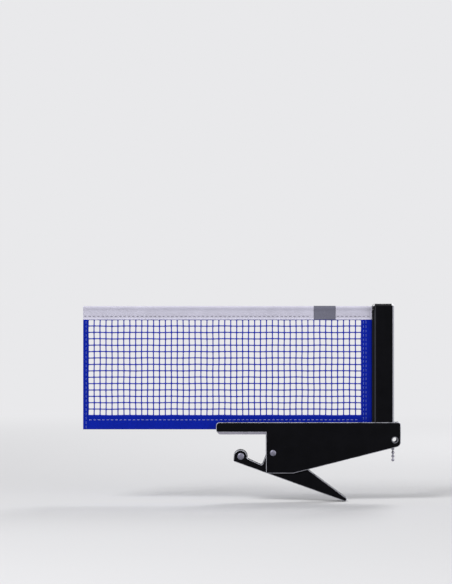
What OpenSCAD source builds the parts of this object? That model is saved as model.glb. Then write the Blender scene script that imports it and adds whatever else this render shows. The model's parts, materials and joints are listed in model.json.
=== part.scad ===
// Spring clamp and post that hold one end of a table tennis net, with that end of the net.
// Millimetres, +Z up. X is 0 at the table's edge and grows away from the table, Z is 0 on
// the table top, and Y is 0 in the plane of the net.

/* [Body] */
// Outside width of the body, across its two cheeks
body_w = 22; // [20:0.5:30]
// Thickness of the body's steel sheet
sheet_t = 1.5; // [1:0.1:2]
// Length of the upper jaw past the table's edge
jaw_len = 59.3; // [50:0.5:75]
// Length of the body past the outer side of the post
heel_len = 7.9; // [7.5:0.1:20]
// Height of the cheeks above the table
cheek_top = 14.3; // [12:0.1:18]
// Depth of the cheeks below the table at its edge
cheek_drop = 46.3; // [42:0.1:55]
// Length of the level lower edge of the cheeks
sole_len = 32.3; // [20:0.1:40]
// Slope of the sloping lower edge of the cheeks, in degrees
belly_slope = 14.2; // [12:0.1:15]
// Rounding of the jaw's upper tip
tip_round = 3.8; // [1:0.1:5]
// Rounding of the body's lower outer corner
heel_round = 6; // [3:0.1:8]
// Rounding of the body's upper outer corner
top_round = 3; // [1:0.1:5]
// Thickness of the rubber pad under the upper jaw
pad_t = 2.6; // [2:0.1:4]
// Depth of the edge plate below the table top
edge_plate_drop = 14.8; // [14:0.1:16]
// Reach of the stop lip behind the edge plate
stop_lip = 4.5; // [3:0.1:6]
// Thickness of the end plate that the chain locks in
end_plate_t = 1; // [0.8:0.05:1.05]
// Length of the end plate, from the outer side of the post towards the table
end_plate_len = 32; // [26:0.5:40]
// Diameter of the hole in the eyelets
eye_d = 6; // [5:0.1:6.4]
// Width of an eyelet's flange
eye_flange = 1; // [0.8:0.1:1.5]
// Distance of the eyelets' axis from the body's outer end
eye_inset = 7; // [6:0.1:9]
// Depth of the eyelets' axis below the table top
eye_drop = 6.6; // [4:0.1:8]

/* [Lever] */
// Distance of the pivot behind the table's edge
pivot_x = 8.3; // [8:0.1:10]
// Depth of the pivot below the table top
pivot_drop = 22.1; // [21.8:0.1:24]
// Slope of the lever's lower edge, in degrees
lever_slope = 19.8; // [18:0.1:21]
// Distance from the pivot to the lever's lower edge
lever_depth = 25.3; // [24:0.1:27]
// Slope of the upper edge of the lever's tail, in degrees
tail_slope = 36.5; // [35:0.1:38]
// Horizontal distance from the pivot to the centre of the tail's round tip
tail_reach = 85.5; // [80:0.5:100]
// Radius of the tail's round tip
tail_tip_r = 2.3; // [2:0.1:3]
// Thickness of the lever's steel sheet
lever_t = 1.5; // [1.2:0.1:2]
// Gap between the ears' top edges and the stop lip
stop_gap = 0.3; // [0.1:0.1:0.5]
// Radius of the fork's eyes at the roller
fork_r = 7.4; // [6:0.1:7.5]
// Distance of the roller's axis from the table's edge
roller_reach = 30; // [26:0.5:34]
// Depth of the roller's axis below the table top
roller_drop = 26.2; // [25:0.1:28]
// Diameter of the roller's rubber tyre
tyre_d = 16.4; // [15:0.1:17]
// Diameter of the roller's core
core_d = 9; // [8:0.1:11]

/* [Rivets and spring] */
// Diameter of both rivet shanks
rivet_d = 5; // [4:0.1:6]
// Diameter of the pivot rivet's heads
pivot_head_d = 7.6; // [7:0.1:9]
// Diameter of the roller rivet's heads
roller_head_d = 8.4; // [7.5:0.1:9]
// Height of the rivet heads
head_h = 1.6; // [1:0.1:1.8]
// Thickness of the washers between the cheeks and the lever
washer_t = 0.8; // [0.5:0.1:1.2]
// Outer diameter of the washers
washer_d = 12; // [10:0.1:13]
// Outer diameter of the sleeve that carries the spring
sleeve_d = 7.8; // [7:0.1:7.9]
// Wire diameter of the spring
wire_d = 1.8; // [1.6:0.05:1.9]
// Mean radius of the spring's coils
coil_r = 5.4; // [5.3:0.05:5.8]
// Distance between the spring's coils, centre to centre
coil_pitch = 2.3; // [2.2:0.05:2.5]
// Whole turns of the spring, to which its legs add a part
coil_turns = 4; // [3:1:4]
// Length of the spring's upper leg along the trough floor
upper_leg_reach = 24.3; // [18:0.1:28]
// Length of the spring's lower leg along the lever
lower_leg_reach = 26.2; // [20:0.1:28]

/* [Post] */
// Width of the post in the net's direction
post_w = 23.4; // [22:0.1:26]
// Distance from the table's edge to the outer side of the post, set by the rules
post_reach = 152.3; // [151.5:0.1:153]
// Height of the post's top above the table
post_top = 152.8; // [150:0.1:156]
// Depth of the post's foot below the table top
post_foot = 1; // [0:0.1:2]
// Thickness of the post's steel sheet
post_t = 1.5; // [1.2:0.1:1.8]
// Width of the slot that the net's edge slides in
slot_w = 3; // [2.8:0.1:4]
// Rounding of the post's long edges
post_round = 2; // [1.6:0.1:3]
// Thickness of the cap above the post
cap_t = 2.6; // [2.4:0.1:4]
// Reach of the cap's lip past the post, over the net's corner
cap_lip = 2.3; // [2:0.1:3.5]
// Depth of the cap's lip below the post's top
cap_lip_drop = 4.5; // [4:0.1:5]
// Depth of the cap's plug inside the post
cap_plug = 4.5; // [4.5:0.1:8]

/* [Net] */
// Height of the top of the net above the table, set by the rules
net_top = 152.5; // [150:0.1:154]
// Distance from the table's edge to the far end of this length of net
net_far = 218; // [150:1:300]
// Height of the net's lower edge above the table
net_low = 5.4; // [5:0.1:7]
// Width of the white band along the top
band_h = 16.2; // [12:0.1:18]
// Width of the hem along the bottom
hem_h = 16.6; // [12:0.1:20]
// Width of the tape at the post
end_tape_w = 12.7; // [10:0.1:15]
// Width of the tape that binds the far end of this length of net
far_tape_w = 6; // [5:0.5:15]
// Thickness of the folded band, hem and tapes
tape_t = 2.4; // [2:0.1:2.8]
// Thickness of the net's twine
twine_d = 1.5; // [1:0.1:1.6]
// Rows of openings, drawn coarser than the real net's
mesh_rows = 10; // [6:1:10]
// Columns of openings, drawn coarser than the real net's
mesh_columns = 28; // [16:1:30]
// Distance from the table's edge to the near end of the label
label_start = 57; // [40:0.1:70]
// Width of the label
label_w = 26; // [20:0.1:30]
// Thickness of the label's cloth
label_t = 0.35; // [0.3:0.05:0.5]

/* [Cord and chain] */
// Diameter of the cord
cord_d = 2.5; // [2:0.1:2.7]
// Radius of the cord's bend over the cap's saddle
cord_bend = 4.3; // [4:0.1:5]
// Height of the ferrule's middle above the table
ferrule_h = 56; // [52:0.5:80]
// Length of the ferrule that joins the cord and the chain
ferrule_len = 12; // [8:0.5:14]
// Diameter of the ferrule
ferrule_d = 4.8; // [4.6:0.1:5.6]
// Diameter of the chain's beads
bead_d = 3.7; // [3.4:0.05:3.8]
// Distance between the beads, centre to centre
bead_pitch = 4.4; // [4.3:0.05:4.8]
// Diameter of the links between the beads
link_d = 1.4; // [1.2:0.05:1.5]
// Distance of the chain's hanging end inside the outer side of the post
chain_inset = 0.8; // [0.3:0.1:1.5]
// Distance from the keyhole's round hole, where the beads pass, to the hanging chain
key_run = 5.4; // [4.5:0.1:6]
// Clearance around a bead in the keyhole's round hole
key_play = 0.5; // [0.4:0.05:0.7]
// Beads of the hanging end, below the one that locks
tail_beads = 3; // [2:1:8]

/* [Hidden] */
$fn = 48;

steel_black = "#17171a";
zinc = "#9c9ca8";
rubber_grey = "#908c98";
net_blue = "#0b28a0";

side_play = 0.05;   // beside a part that turns
shaft_play = 0.05;  // around a shaft that turns, on the radius
over = 1;           // how far a cutter runs past a face

inner_w = body_w - 2 * sheet_t;
lever_w = inner_w - 2 * (washer_t + side_play);
fork_w = lever_w - 2 * lever_t;
rivet_r = rivet_d / 2;
pivot = [pivot_x, -pivot_drop];
roller = [-roller_reach, -roller_drop];

// height of the body's sloping lower edge at x, and the upright thickness of a sheet on it
function belly(x) = -cheek_drop + (x - sole_len) * tan(belly_slope);
function upright(t, slope) = t / cos(slope);

// height of the lever's lower edge at x
function lever_edge(x) = pivot[1] - upright(lever_depth, lever_slope)
    - (x - pivot[0]) * tan(lever_slope);

tail_tip = [pivot[0] + tail_reach,
    lever_edge(pivot[0] + tail_reach) + upright(tail_tip_r, lever_slope)];
// height of the tail's upper edge at x, which touches the round tip
function tail_edge(x) = tail_tip[1] + upright(tail_tip_r, tail_slope)
    - (x - tail_tip[0]) * tan(tail_slope);
tail_corner_x = (lever_edge(0) - tail_edge(0)) / (tan(lever_slope) - tan(tail_slope));
ear_top = -edge_plate_drop - stop_gap;
ear_back_x = (tail_edge(0) - ear_top) / tan(tail_slope);

outer_len = post_reach + heel_len;
post_x = post_reach - post_w;
slot_x = post_x + post_t;
cap_top = post_top + cap_t;
net_edge = post_x - cap_lip;
mesh_edge = net_edge - end_tape_w;
mesh_far = -net_far + far_tape_w;
mesh_low = net_low + hem_h;
band_low = net_top - band_h;
cord_r = cord_d / 2;
band_bulb_r = cord_r + (tape_t - cord_d / 2) * 0.7;
cord_z = net_top - band_bulb_r;
chain_x = post_reach - chain_inset;
cord_drop_x = chain_x - bead_pitch;
lead_beads = 3;     // beads that lean from under the post to the locking slot

// ---- outlines ----

function unit(v) = v / norm(v);
// points of the arc of radius r that rounds the corner at c, between p and n
function corner_arc(p, c, n, r) =
    let (u = unit(p - c), v = unit(n - c), half = acos(u * v) / 2,
         mid = c + unit(u + v) * r / sin(half), from = c + u * r / tan(half) - mid,
         start = atan2(from[1], from[0]), turn = (180 - 2 * half) * sign(cross(-u, v)),
         steps = ceil(abs(turn) / 12))
    [for (k = [0:steps]) mid + r * [cos(start + turn * k / steps), sin(start + turn * k / steps)]];
// outline through corners given as [x, z, radius]
function outline(corners) =
    let (n = len(corners), at = function (i) [corners[i % n][0], corners[i % n][1]])
    [for (i = [0:n - 1]) each corners[i][2] == 0 ? [at(i)]
        : corner_arc(at(i + n - 1), at(i), at(i + 1), corners[i][2])];

// an outline in X and Z, from y to y + w
module across(points, y, w) {
    translate([0, y + w, 0]) rotate([90, 0, 0]) linear_extrude(w) polygon(points);
}
// a round bar along Y, around p = [x, z]
module pin(p, r, y, w) {
    translate([p[0], y + w, p[1]]) rotate([90, 0, 0]) cylinder(r = r, h = w);
}
// a tube along Y, centred on Y = 0
module bush(p, outer_r, inner_r, w) {
    difference() {
        pin(p, outer_r, -w / 2, w);
        pin(p, inner_r, -w / 2 - over, w + 2 * over);
    }
}
// a block between two corners
module block(low, high) {
    translate(low) cube(high - low);
}
// a shape drawn in Y and Z, from x to x + len
module along(x, len) {
    translate([x, 0, 0]) rotate([90, 0, 90]) linear_extrude(len) children();
}
// a rivet along Y with a shank and two domed heads
module rivet(p, grip, head_d) {
    dome_r = (pow(head_d / 2, 2) + pow(head_h, 2)) / (2 * head_h);
    pin(p, rivet_r, -grip / 2, grip);
    for (side = [-1, 1]) intersection() {
        translate([p[0], side * (grip / 2 + head_h - dome_r), p[1]]) sphere(r = dome_r, $fn = 64);
        pin(p, head_d / 2, side > 0 ? grip / 2 : -grip / 2 - head_h, head_h);
    }
}

// ---- body ----

nose = 1.3;         // chamfer under the upper jaw's tip
pad_lean = 2.3;     // how far the pad's front end leans back
cheek_outline = outline([
    [-jaw_len, cheek_top, tip_round],
    [-jaw_len, pad_t + nose, 0],
    [-jaw_len + nose, pad_t, 0],
    [0, pad_t, 0],
    [0, -cheek_drop, 1],
    [sole_len, -cheek_drop, 2],
    [outer_len, belly(outer_len), heel_round],
    [outer_len, cheek_top, top_round]]);
eye = [outer_len - eye_inset, -eye_drop];
eye_barrel_r = eye_d / 2 + 0.4;

module cheek(y) {
    difference() {
        across(cheek_outline, y, sheet_t);
        pin(pivot, rivet_r, y - over, sheet_t + 2 * over);
        pin(eye, eye_barrel_r, y - over, sheet_t + 2 * over);
    }
}

module front_cheek() {
    color(steel_black) cheek(-body_w / 2);
}

module rear_cheek() {
    color(steel_black) cheek(inner_w / 2);
}

module trough_floor() {
    color(steel_black) block([-jaw_len + pad_lean, -inner_w / 2, pad_t],
        [post_x, inner_w / 2, pad_t + sheet_t]);
}

// strip that bears on the table's edge from the corner down, with a lip bent back to stop the lever
module edge_plate() {
    color(steel_black) across(outline([
        [0, 0, 0],
        [0, -edge_plate_drop, 1.8],
        [sheet_t + stop_lip, -edge_plate_drop, 0],
        [sheet_t + stop_lip, -edge_plate_drop + sheet_t, 0],
        [sheet_t, -edge_plate_drop + sheet_t, 0.3],
        [sheet_t, 0, 0]]), -inner_w / 2, inner_w);
}

end_plate_x = post_reach - end_plate_len;
key_hole_x = chain_x - key_run;
slot_play = 0.35;   // around a link in the keyhole's slot, on the radius
slot_past = 0.4;    // how far the slot runs past the chain
key_w = link_d + 2 * slot_play;
module end_plate() {
    inside = outer_len - end_plate_t;
    rise = upright(end_plate_t, belly_slope);
    cut_h = key_run + 2 * rise;
    color(steel_black) difference() {
        across(outline([
            [end_plate_x, belly(end_plate_x), 0],
            [outer_len, belly(outer_len), heel_round],
            [outer_len, cheek_top - top_round, 0],
            [inside, cheek_top - top_round, 0],
            [inside, belly(inside) + rise, heel_round - end_plate_t],
            [end_plate_x, belly(end_plate_x) + rise, 0]]), -inner_w / 2, inner_w);
        // the round hole's lowest edge is a bead's width down the slope
        translate([0, 0, belly(key_hole_x - bead_d)]) {
            translate([key_hole_x, 0, 0]) cylinder(d = bead_d + 2 * key_play, h = cut_h);
            translate([chain_x + slot_past, 0, 0]) cylinder(d = key_w, h = cut_h);
            translate([key_hole_x, -key_w / 2, 0]) cube([key_run + slot_past, key_w, cut_h]);
        }
    }
}

module eyelets() {
    color(steel_black) for (side = [-1, 1]) mirror([0, side > 0 ? 1 : 0, 0]) difference() {
        union() {
            pin(eye, eye_barrel_r, -body_w / 2, sheet_t);
            pin(eye, eye_d / 2 + eye_flange, -body_w / 2 - 0.6, 0.6);
        }
        pin(eye, eye_d / 2, -body_w / 2 - over, sheet_t + 2 * over);
    }
}

module upper_jaw_pad() {
    color(rubber_grey) across([[-jaw_len + nose, pad_t], [-jaw_len + nose + pad_lean, 0],
        [0, 0], [0, pad_t]], -body_w / 2, body_w);
}

// ---- lever ----

// where the fork's bars leave the pivot ears, below and behind the table's edge
crotch = pivot + [-12.9, -14.9];
throat_slope = 69;  // of the ears' front edge, in degrees
ear_front_x = crotch[0] + (ear_top - crotch[1]) / tan(throat_slope);
toe_x = roller[0] - fork_r - 1.4;
lever_outline = outline([
    [toe_x, lever_edge(toe_x), 1],
    [tail_corner_x, lever_edge(tail_corner_x), tail_tip_r],
    [ear_back_x, ear_top, 3],
    [ear_front_x, ear_top, 1.5],
    [crotch[0], crotch[1], 2.5],
    [roller[0] + fork_r, roller[1] - 2.5, 2],
    [roller[0] + fork_r, roller[1] + fork_r, fork_r - 0.01],
    [roller[0] - fork_r, roller[1] + fork_r, fork_r - 0.01]]);
fork_x = roller[0] + tyre_d / 2 + 1.2;      // where the web starts, behind the roller

// one sheet folded into a channel: two ears and the web between their lower edges
module lever() {
    web = upright(lever_t, lever_slope);
    color(steel_black) difference() {
        across(lever_outline, -lever_w / 2, lever_w);
        across([[fork_x, lever_edge(fork_x) + web], [tail_corner_x, lever_edge(tail_corner_x) + web],
            [tail_corner_x, 0], [fork_x, 0]], -fork_w / 2, fork_w);
        block([roller[0] - tyre_d, -fork_w / 2, roller[1] - tyre_d],
            [fork_x, fork_w / 2, 0]);
        pin(pivot, rivet_r + shaft_play, -lever_w / 2 - over, lever_w + 2 * over);
        pin(roller, rivet_r, -lever_w / 2 - over, lever_w + 2 * over);
    }
}

module pivot_rivet() {
    color(zinc) rivet(pivot, body_w, pivot_head_d);
}

module pivot_washers() {
    color("ivory") for (side = [-1, 1]) translate([0, side * (inner_w - washer_t) / 2, 0])
        bush(pivot, washer_d / 2, rivet_r + shaft_play, washer_t);
}

module spring_sleeve() {
    color("ivory") bush(pivot, sleeve_d / 2, rivet_r + shaft_play, fork_w - 2 * side_play);
}

module roller_rivet() {
    color(zinc) rivet(roller, lever_w, roller_head_d);
}

core_w = fork_w - 4 * side_play;
module roller_core() {
    color("ivory") bush(roller, core_d / 2, rivet_r + shaft_play, core_w);
}

module roller_tyre() {
    half = core_w / 2 - 0.2;
    color(steel_black) translate([roller[0], 0, roller[1]]) rotate([90, 0, 0])
        rotate_extrude($fn = 72) polygon(outline([
            [core_d / 2, -half, 0], [tyre_d / 2, -half, 0.8],
            [tyre_d / 2, half, 0.8], [core_d / 2, half, 0]]));
}

// ---- torsion spring: one wire from under the trough floor, round the sleeve, to the web ----

wire_r = wire_d / 2;
rest_gap = 0.1;     // between a leg's end and what it presses on
upper_end = [pivot[0] + upper_leg_reach, pad_t - wire_r - rest_gap];
lower_x = pivot[0] + lower_leg_reach;
lower_end = [lower_x,
    lever_edge(lower_x) + upright(lever_t + wire_r + rest_gap, lever_slope)];
function bearing(p) = atan2(p[1] - pivot[1], p[0] - pivot[0]);
function touch(p) = acos(coil_r / norm(p - pivot));
coil_start = bearing(upper_end) + touch(upper_end);
coil_end = bearing(lower_end) - touch(lower_end) + 360 * (coil_turns + 1);
coil_turn = coil_end - coil_start;
coil_len = coil_pitch * coil_turn / 360;
coil_steps = ceil(coil_turn / 45);
function coil_angle(k) = coil_start + coil_turn * k / coil_steps;
function spring_point(k) =
    k < 0 ? [upper_end[0], -coil_len / 2, upper_end[1]]
    : k > coil_steps ? [lower_end[0], coil_len / 2, lower_end[1]]
    : [pivot[0] + coil_r * cos(coil_angle(k)), coil_len * (k / coil_steps - 0.5),
        pivot[1] + coil_r * sin(coil_angle(k))];
function spring_out(k) = let (a = coil_angle(max(0, min(coil_steps, k)))) [cos(a), 0, sin(a)];
spring_gap = min([for (i = [0:coil_steps - 5], j = [i + 5:coil_steps])
    norm(spring_point(i) - spring_point(j))]) - wire_d;
echo(least_gap_between_the_coils = spring_gap);

module torsion_spring() {
    sides = 6;
    rings = coil_steps + 3;
    points = [for (k = [-1:coil_steps + 1], s = [0:sides - 1]) spring_point(k)
        + wire_r * (cos(360 * s / sides) * spring_out(k) + [0, sin(360 * s / sides), 0])];
    skin = [for (k = [0:rings - 2], s = [0:sides - 1])
        let (a = k * sides + s, b = k * sides + (s + 1) % sides)
        each [[a, a + sides, b], [b, a + sides, b + sides]]];
    first = [for (s = [1:sides - 2]) [0, s, s + 1]];
    last = [for (s = [1:sides - 2]) (rings - 1) * sides * [1, 1, 1] + [0, s + 1, s]];
    color(zinc) polyhedron(points, concat(skin, first, last));
}

// ---- post ----

// sheet folded into a channel, open towards the net by a narrow slot
module post() {
    w = inner_w / 2;
    s = slot_w / 2;
    near = slot_x - post_x;
    bend = post_round - post_t;
    color(steel_black) translate([post_x, 0, -post_foot]) linear_extrude(post_top + post_foot)
        polygon(outline([
            [0, -s, 0], [0, -w, post_round], [post_w, -w, post_round], [post_w, w, post_round],
            [0, w, post_round], [0, s, 0], [near, s, 0], [near, w - post_t, bend],
            [post_w - post_t, w - post_t, bend], [post_w - post_t, -w + post_t, bend],
            [near, -w + post_t, bend], [near, -s, 0]]));
}

saddle = [cord_drop_x - cord_bend, cord_z - cord_bend];
module post_cap() {
    w = inner_w / 2;
    channel = cord_r + 0.2;
    plug_play = 0.15;
    lip_round = 4.8;
    outer_round = cap_t - 0.2;
    color(steel_black) difference() {
        union() {
            intersection() {
                across(outline([[net_edge, cap_top, lip_round],
                    [net_edge, post_top - cap_lip_drop, 0.8],
                    [post_x, post_top - cap_lip_drop, 0], [post_x, post_top, 0],
                    [post_reach, post_top, 0], [post_reach, cap_top, outer_round]]), -w, inner_w);
                along(net_edge, cap_lip + post_w) polygon(outline([[-w, post_top - cap_lip_drop, 0],
                    [w, post_top - cap_lip_drop, 0], [w, cap_top, 2.5], [-w, cap_top, 2.5]]));
            }
            block([slot_x + plug_play, -w + post_t + plug_play, post_top - cap_plug],
                [post_reach - post_t - plug_play, w - post_t - plug_play, post_top]);
        }
        // the cord's way in over the saddle and down
        difference() {
            union() {
                block([net_edge - over, -channel, post_top - cap_plug - over],
                    [saddle[0], channel, cord_z + channel]);
                block([saddle[0] - over, -channel, post_top - cap_plug - over],
                    [cord_drop_x + channel, channel, saddle[1]]);
                pin(saddle, cord_bend + channel, -channel, 2 * channel);
            }
            pin(saddle, cord_bend - channel, -channel - over, 2 * channel + 2 * over);
        }
    }
}

// ---- cord and chain ----

module net_cord() {
    ferrule_top = ferrule_h + ferrule_len / 2;
    color("white") {
        translate([-net_far, 0, cord_z]) rotate([0, 90, 0])
            cylinder(r = cord_r, h = saddle[0] + net_far);
        intersection() {
            translate([saddle[0], 0, saddle[1]]) rotate([90, 0, 0]) rotate_extrude()
                translate([cord_bend, 0]) circle(r = cord_r);
            block([saddle[0], -cord_d, saddle[1]], [cord_drop_x + cord_d, cord_d, cord_z + cord_d]);
        }
        translate([cord_drop_x, 0, ferrule_h]) cylinder(r = cord_r, h = saddle[1] - ferrule_h);
    }
}

// crimped tube: the cord ends in its upper half and the chain in its lower half
module cord_ferrule() {
    color(zinc) translate([cord_drop_x, 0, ferrule_h]) difference() {
        translate([0, 0, -ferrule_len / 2]) cylinder(d = ferrule_d, h = ferrule_len);
        cylinder(r = cord_r, h = ferrule_len);
        translate([0, 0, -ferrule_len]) cylinder(d = bead_d, h = ferrule_len);
    }
}

// a bar between two points in the plane of the chain
module link(p, q) {
    d = q - p;
    translate([p[0], 0, p[1]]) rotate([0, atan2(d[0], d[1]), 0]) cylinder(d = link_d, h = norm(d));
}
module beads(points) {
    for (p = points) translate([p[0], 0, p[1]]) sphere(d = bead_d, $fn = 32);
    for (i = [1:len(points) - 1]) link(points[i - 1], points[i]);
}

// the locking bead hangs from the edges of the slot, just clear of them
seat = sqrt(pow(bead_d / 2, 2) - pow(key_w / 2, 2)) + 0.05;
lock = [chain_x, belly(chain_x) - upright(seat, belly_slope)];
lead_start = lock + [0, bead_pitch];
lead_x = chain_x - cord_drop_x;
lead_z = sqrt(pow(lead_beads * bead_pitch, 2) - pow(lead_x, 2));
post_beads = floor((ferrule_h - bead_d / 2 - lead_start[1] - lead_z) / bead_pitch);
chain_points = concat([lock],
    [for (k = [0:lead_beads]) lead_start + [-lead_x, lead_z] * k / lead_beads],
    [for (k = [1:post_beads]) lead_start + [-lead_x, lead_z + k * bead_pitch]]);

module ball_chain() {
    color(zinc) beads(chain_points);
}

// the free end swings below the bead that locks under the end plate
module chain_tail() {
    color(zinc) {
        beads([for (k = [1:tail_beads]) lock - [0, k * bead_pitch]]);
        link(lock - [0, bead_pitch], lock - [0, bead_d / 2 + 0.15]);
    }
}

// ---- net ----

module net_mesh() {
    size = [mesh_edge - mesh_far, band_low - mesh_low];
    step = [(size[0] - twine_d) / mesh_columns, (size[1] - twine_d) / mesh_rows];
    color(net_blue) translate([mesh_far, twine_d / 2, mesh_low]) rotate([90, 0, 0])
        linear_extrude(twine_d) difference() {
            square(size);
            for (i = [0:mesh_columns - 1], j = [0:mesh_rows - 1])
                translate([twine_d + i * step[0], twine_d + j * step[1]])
                    square([step[0] - twine_d, step[1] - twine_d]);
        }
}

// the band's section: two layers of cloth, fuller around the cord
module band_section(extra) {
    translate([-tape_t / 2 - extra, band_low]) square([tape_t + 2 * extra, cord_z - band_low]);
    translate([0, cord_z]) circle(r = band_bulb_r + extra);
}

module net_top_band() {
    color("white") along(-net_far, net_edge + net_far) difference() {
        band_section(0);
        translate([0, cord_z]) circle(r = cord_r);
    }
}

module net_hem() {
    color(net_blue) block([mesh_far, -tape_t / 2, net_low], [mesh_edge, tape_t / 2, mesh_low]);
}

module net_end_tape() {
    color(net_blue) block([mesh_edge, -tape_t / 2, net_low], [net_edge, tape_t / 2, band_low]);
}

module net_far_tape() {
    color(net_blue) block([-net_far, -tape_t / 2, net_low], [mesh_far, tape_t / 2, band_low]);
}

// cloth label folded over the band
module net_label() {
    color("gray") along(label_start, label_w) difference() {
        band_section(label_t);
        band_section(0);
    }
}

// black strip sewn to the net's edge, with a bead that the post's slot holds
batten_low = 6;     // height of its lower end
module net_batten() {
    strip_t = slot_w - 1;
    bead_r = slot_w / 2 + 0.7;
    top = post_top - max(cap_plug, cap_lip_drop) - 0.15;
    color(steel_black) translate([0, 0, batten_low]) linear_extrude(top - batten_low) {
        translate([net_edge, -strip_t / 2]) square([slot_x + bead_r - net_edge, strip_t]);
        translate([slot_x + bead_r + 0.1, 0]) circle(r = bead_r);
    }
}

front_cheek();
rear_cheek();
trough_floor();
edge_plate();
end_plate();
eyelets();
upper_jaw_pad();
lever();
pivot_rivet();
pivot_washers();
spring_sleeve();
torsion_spring();
roller_rivet();
roller_core();
roller_tyre();
post();
post_cap();
net_cord();
cord_ferrule();
ball_chain();
chain_tail();
net_mesh();
net_top_band();
net_hem();
net_end_tape();
net_far_tape();
net_label();
net_batten();
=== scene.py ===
"""Dresses the table tennis net clamp: its sewn net, bead chain, spring, rubber and finishes.

Laid out as an add-on and run as a script. All sizes are in metres unless a name says millimetres.
"""

import json
import math

import bmesh
import bpy
import numpy as np
from bpy.props import FloatProperty, FloatVectorProperty, IntProperty, PointerProperty
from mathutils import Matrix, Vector


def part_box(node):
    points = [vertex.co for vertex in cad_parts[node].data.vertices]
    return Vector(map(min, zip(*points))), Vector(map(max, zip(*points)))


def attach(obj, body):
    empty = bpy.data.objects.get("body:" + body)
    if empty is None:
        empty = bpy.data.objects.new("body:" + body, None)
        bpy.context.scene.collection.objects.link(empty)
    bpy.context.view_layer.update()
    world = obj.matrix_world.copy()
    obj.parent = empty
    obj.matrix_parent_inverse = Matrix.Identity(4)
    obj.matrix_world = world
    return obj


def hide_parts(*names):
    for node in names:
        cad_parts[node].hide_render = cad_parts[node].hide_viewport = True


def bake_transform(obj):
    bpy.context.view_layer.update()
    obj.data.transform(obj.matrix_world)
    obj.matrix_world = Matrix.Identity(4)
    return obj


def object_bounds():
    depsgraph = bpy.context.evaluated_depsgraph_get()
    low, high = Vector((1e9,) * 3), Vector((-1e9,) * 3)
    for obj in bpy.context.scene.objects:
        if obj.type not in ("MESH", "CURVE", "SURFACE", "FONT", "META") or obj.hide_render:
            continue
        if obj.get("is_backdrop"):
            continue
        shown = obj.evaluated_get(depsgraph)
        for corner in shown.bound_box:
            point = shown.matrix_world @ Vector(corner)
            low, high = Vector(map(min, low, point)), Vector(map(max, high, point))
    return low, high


bl_info = {
    "name": "Table Tennis Net Clamp",
    "version": (1, 0, 0),
    "blender": (4, 5, 0),
    "location": "View3D > Sidebar > Net Clamp",
    "description": "Builds the sewn net, chain, spring and finishes of a table tennis net clamp",
    "category": "Add Mesh",
}

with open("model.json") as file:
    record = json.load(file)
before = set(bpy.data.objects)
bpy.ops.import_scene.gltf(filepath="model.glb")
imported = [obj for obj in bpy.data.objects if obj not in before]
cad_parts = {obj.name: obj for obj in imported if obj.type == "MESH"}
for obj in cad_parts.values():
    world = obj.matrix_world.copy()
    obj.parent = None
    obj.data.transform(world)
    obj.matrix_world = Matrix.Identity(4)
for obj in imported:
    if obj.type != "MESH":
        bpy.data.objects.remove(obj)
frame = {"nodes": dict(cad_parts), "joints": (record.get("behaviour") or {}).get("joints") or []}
NODES = frame["nodes"]
JOINTS = {joint["name"]: joint for joint in frame["joints"]}
MM = 0.001
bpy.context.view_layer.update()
NEAR = 1e-6                   # distance at which two corners of a CAD node are one
SEAM = 1e-7                   # the same for a new surface's seams and poles
FLAT = math.radians(1)        # angle up to which two faces are one
SHARP = math.radians(32)      # angle past which an edge is rounded
ALONG_Y = np.array([0.0, 1.0, 0.0])


def box(node):
    """Lowest and highest corner of a CAD node, as arrays."""
    low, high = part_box(node)
    return np.array(low), np.array(high)


def linear(hex_colour):
    """An sRGB colour written #rrggbb, as linear red, green, blue and an alpha of 1."""
    values = np.array([int(hex_colour[i:i + 2], 16) for i in (1, 3, 5)]) / 255
    straight = np.where(values <= 0.04045, values / 12.92, ((values + 0.055) / 1.055) ** 2.4)
    return (*straight.tolist(), 1.0)


# ---- sizes and colours a user would change -------------------------------------------------


def length(name, description, default_mm):
    """A length property whose default is given in millimetres."""
    return FloatProperty(name=name, description=description, default=default_mm * MM,
                         min=0.0, precision=5, subtype="DISTANCE", unit="LENGTH")


def colour(name, description, hex_colour):
    """A colour property whose default is an sRGB hex value."""
    return FloatVectorProperty(name=name, description=description, subtype="COLOR", size=4,
                               min=0.0, max=1.0, default=linear(hex_colour))


class NetClampNet(bpy.types.PropertyGroup):
    mesh_width: length("Mesh width", "Distance between the upright strands", 7.05)
    mesh_height: length("Mesh height", "Distance between the level strands", 7.6)
    twine: length("Twine", "Diameter of the net's twine", 1.4)
    knot: FloatProperty(name="Knot", description="How much thicker a knot is than its twine",
                        default=0.45, min=0.0, max=1.5)
    cloth: length("Cloth", "Thickness of the tapes' cloth", 0.55)
    label_cloth: length("Label cloth", "Thickness of the label's cloth", 0.3)
    stitch_pitch: length("Stitch pitch", "Distance from one stitch to the next", 5.2)
    stitch: length("Stitch", "Length of a stitch that shows", 2.9)
    thread: length("Thread", "Diameter of the sewing thread", 0.7)


class NetClampMetal(bpy.types.PropertyGroup):
    bead: length("Bead", "Diameter of the chain's beads", 3.7)
    bead_pitch: length("Bead pitch", "Distance between the beads", 4.4)
    link: length("Link", "Diameter of the links between the beads", 1.4)
    wire: length("Spring wire", "Diameter of the spring's wire", 1.8)
    coil_radius: length("Coil radius", "Mean radius of the spring's coils", 5.4)
    coil_pitch: length("Coil pitch", "Distance between the spring's coils", 2.3)
    coil_turns: IntProperty(name="Coil turns", description="Whole turns of the spring",
                            default=4, min=1, max=8)
    upper_leg: length("Upper leg", "Reach of the spring's upper leg from the pivot", 24.3)
    lower_leg: length("Lower leg", "Reach of the spring's lower leg from the pivot", 26.2)
    edge: length("Sheet edge", "Rounding of the steel sheet's edges", 0.6)


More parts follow.
